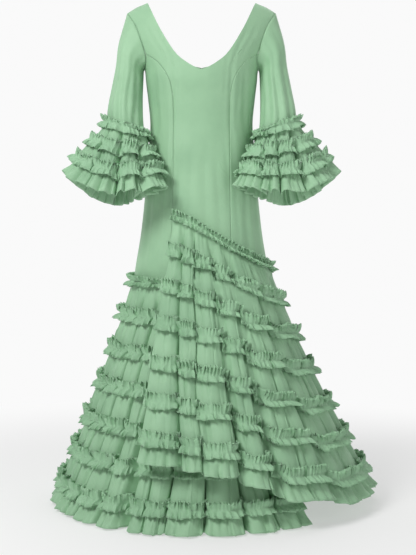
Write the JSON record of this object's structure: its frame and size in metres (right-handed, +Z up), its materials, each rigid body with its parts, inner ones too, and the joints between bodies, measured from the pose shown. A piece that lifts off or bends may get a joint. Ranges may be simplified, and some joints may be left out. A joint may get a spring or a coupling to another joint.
{
  "type": "flamenco dress",
  "caption": "Filled-out flamenco dress with a princess-seamed body, elbow sleeves with ruffled cuffs and a wrap-over tiered flounce edged with gathered double ruffles.",
  "frame": {"origin": "halfway between the middles of the two shoulder seams, where the wearer's shoulders hold the dress", "axes": "+Z up along the wearer, the wearer faces -Y, +X towards the wearer's left"},
  "size_m": [0.8941, 0.8514, 1.3682],
  "materials": {
    "poplin": "plain-woven sage green cotton poplin with a soft sheen"
  },
  "bodies": {
    "root": {"front_centre": "poplin", "front_side_left": "poplin", "front_side_right": "poplin", "back_centre_left": "poplin", "back_centre_right": "poplin", "back_side_left": "poplin", "back_side_right": "poplin", "sleeve_left": "poplin", "sleeve_right": "poplin", "cuff_tier_1_left": "poplin", "cuff_tier_2_left": "poplin", "cuff_tier_3_left": "poplin", "cuff_tier_1_right": "poplin", "cuff_tier_2_right": "poplin", "cuff_tier_3_right": "poplin", "cuff_ruffle_1_left": "poplin", "cuff_ruffle_2_left": "poplin", "cuff_ruffle_3_left": "poplin", "cuff_ruffle_1_right": "poplin", "cuff_ruffle_2_right": "poplin", "cuff_ruffle_3_right": "poplin", "flounce_tier_1": "poplin", "flounce_tier_2": "poplin", "flounce_tier_3": "poplin", "flounce_tier_4": "poplin", "flounce_tier_5": "poplin", "flounce_tier_6": "poplin", "flounce_tier_7": "poplin", "flounce_ruffle_1": "poplin", "flounce_ruffle_2": "poplin", "flounce_ruffle_3": "poplin", "flounce_ruffle_4": "poplin", "flounce_ruffle_5": "poplin", "flounce_ruffle_6": "poplin", "flounce_ruffle_7": "poplin"}
  },
  "joints": []
}
